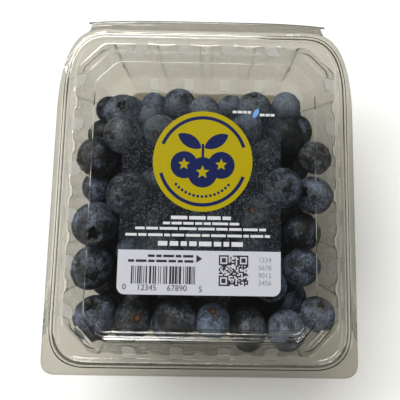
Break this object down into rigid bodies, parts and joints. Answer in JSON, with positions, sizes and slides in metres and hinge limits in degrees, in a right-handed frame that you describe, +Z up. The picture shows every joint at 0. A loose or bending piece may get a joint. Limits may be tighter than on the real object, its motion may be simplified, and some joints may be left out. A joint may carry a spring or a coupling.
{
  "type": "punnet of blueberries",
  "caption": "Clear hinged clamshell punnet, ribbed and vented, heaped with blueberries towards the front, with a film label on the domed lid.",
  "frame": {"origin": "under the middle of the pack, at the height of the floor it rests on", "axes": "+Z up through the lid, +Y towards the hinge, +X to the right seen from the front"},
  "size_m": [0.1238, 0.1426, 0.0617],
  "materials": {
    "clear_plastic": "clear formed sheet, glossy",
    "berry_skin": "waxy bloom on dark blue skin",
    "label_film": "clear satin film",
    "yellow_print": "printed film, satin",
    "pale_print": "printed film, satin"
  },
  "bodies": {
    "tub": {"tub": "clear_plastic", "blueberries": "berry_skin"},
    "lid": {"lid": "clear_plastic", "label_film": "label_film", "label_disc": "yellow_print", "label_strip": "pale_print"}
  },
  "joints": [
    {"name": "lid_hinge", "type": "hinge", "parent": "tub", "child": "lid", "pos_m": [0, 0.07145, 0.0496], "axis": [-1, 0, 0], "range_deg": [0, 180]}
  ]
}
